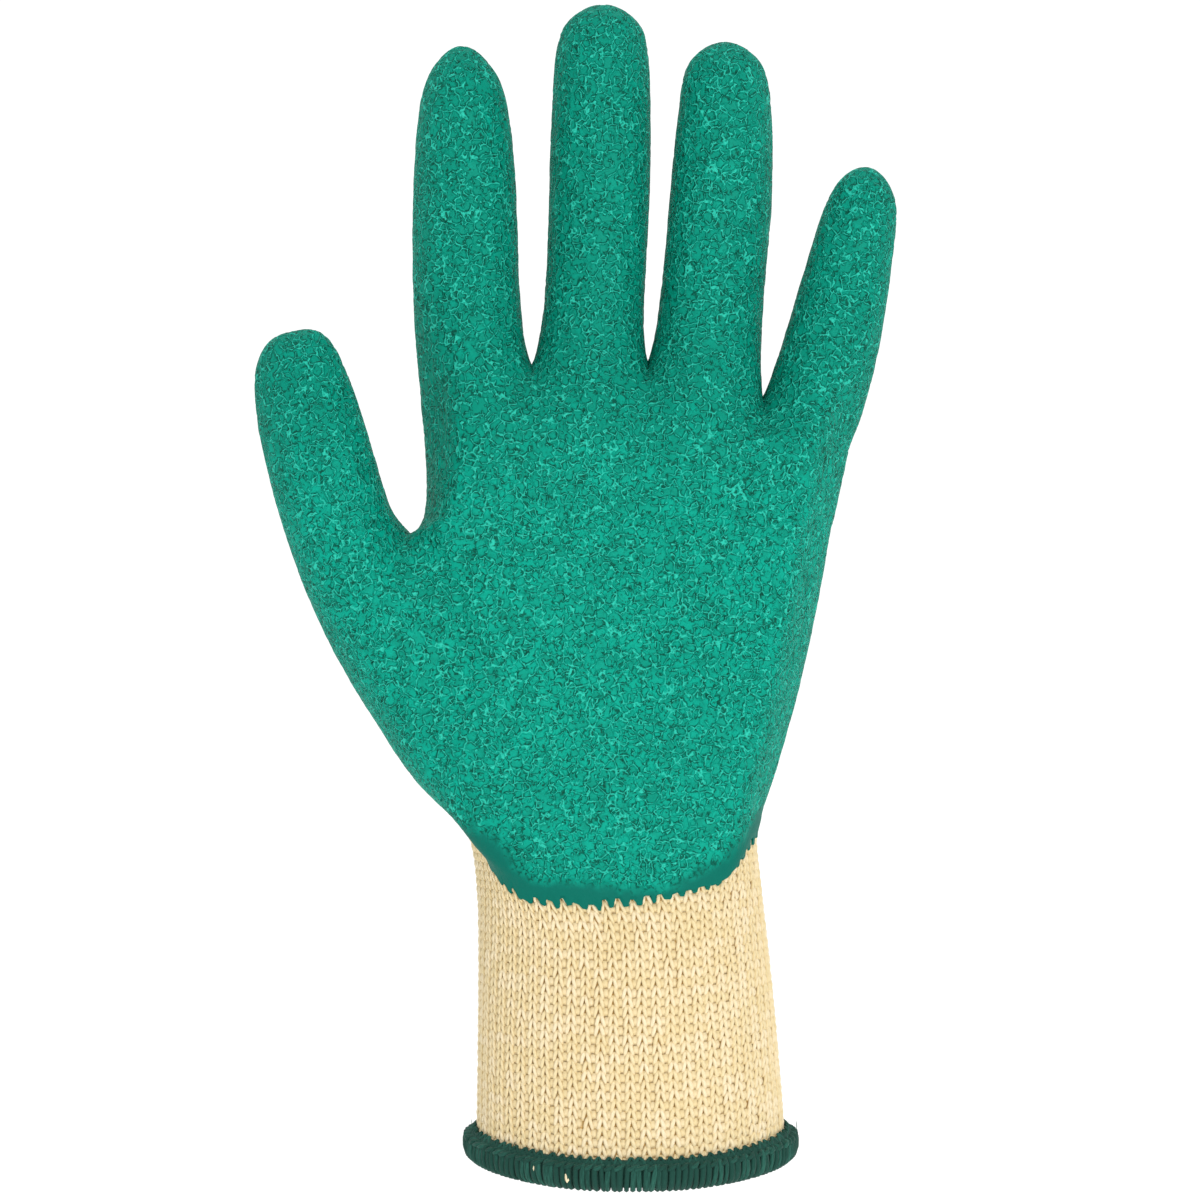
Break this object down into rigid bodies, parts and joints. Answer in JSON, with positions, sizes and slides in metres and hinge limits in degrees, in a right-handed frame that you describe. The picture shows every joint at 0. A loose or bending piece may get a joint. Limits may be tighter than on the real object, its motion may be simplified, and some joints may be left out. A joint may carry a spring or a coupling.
{
  "type": "latex coated grip glove",
  "caption": "Knitted work glove for the left hand, in its worn shape: crinkled latex over palm, fingers and thumb, bare knit back, ribbed cuff and a green overlocked hem.",
  "frame": {"origin": "centre of the cuff's mouth, where the hand goes in", "axes": "+Z from the cuff's mouth to the fingertips, -Y the palm side, +X the little finger's side"},
  "size_m": [0.1338, 0.0538, 0.2454],
  "materials": {
    "knitted_cotton": "coarse seamless knit, matt",
    "crinkled_latex": "crinkled, satin",
    "overlock_thread": "wrapped yarn, matt"
  },
  "bodies": {
    "root": {"knit_liner": "knitted_cotton", "latex_coating": "crinkled_latex", "overlock_hem": "overlock_thread"}
  },
  "joints": []
}
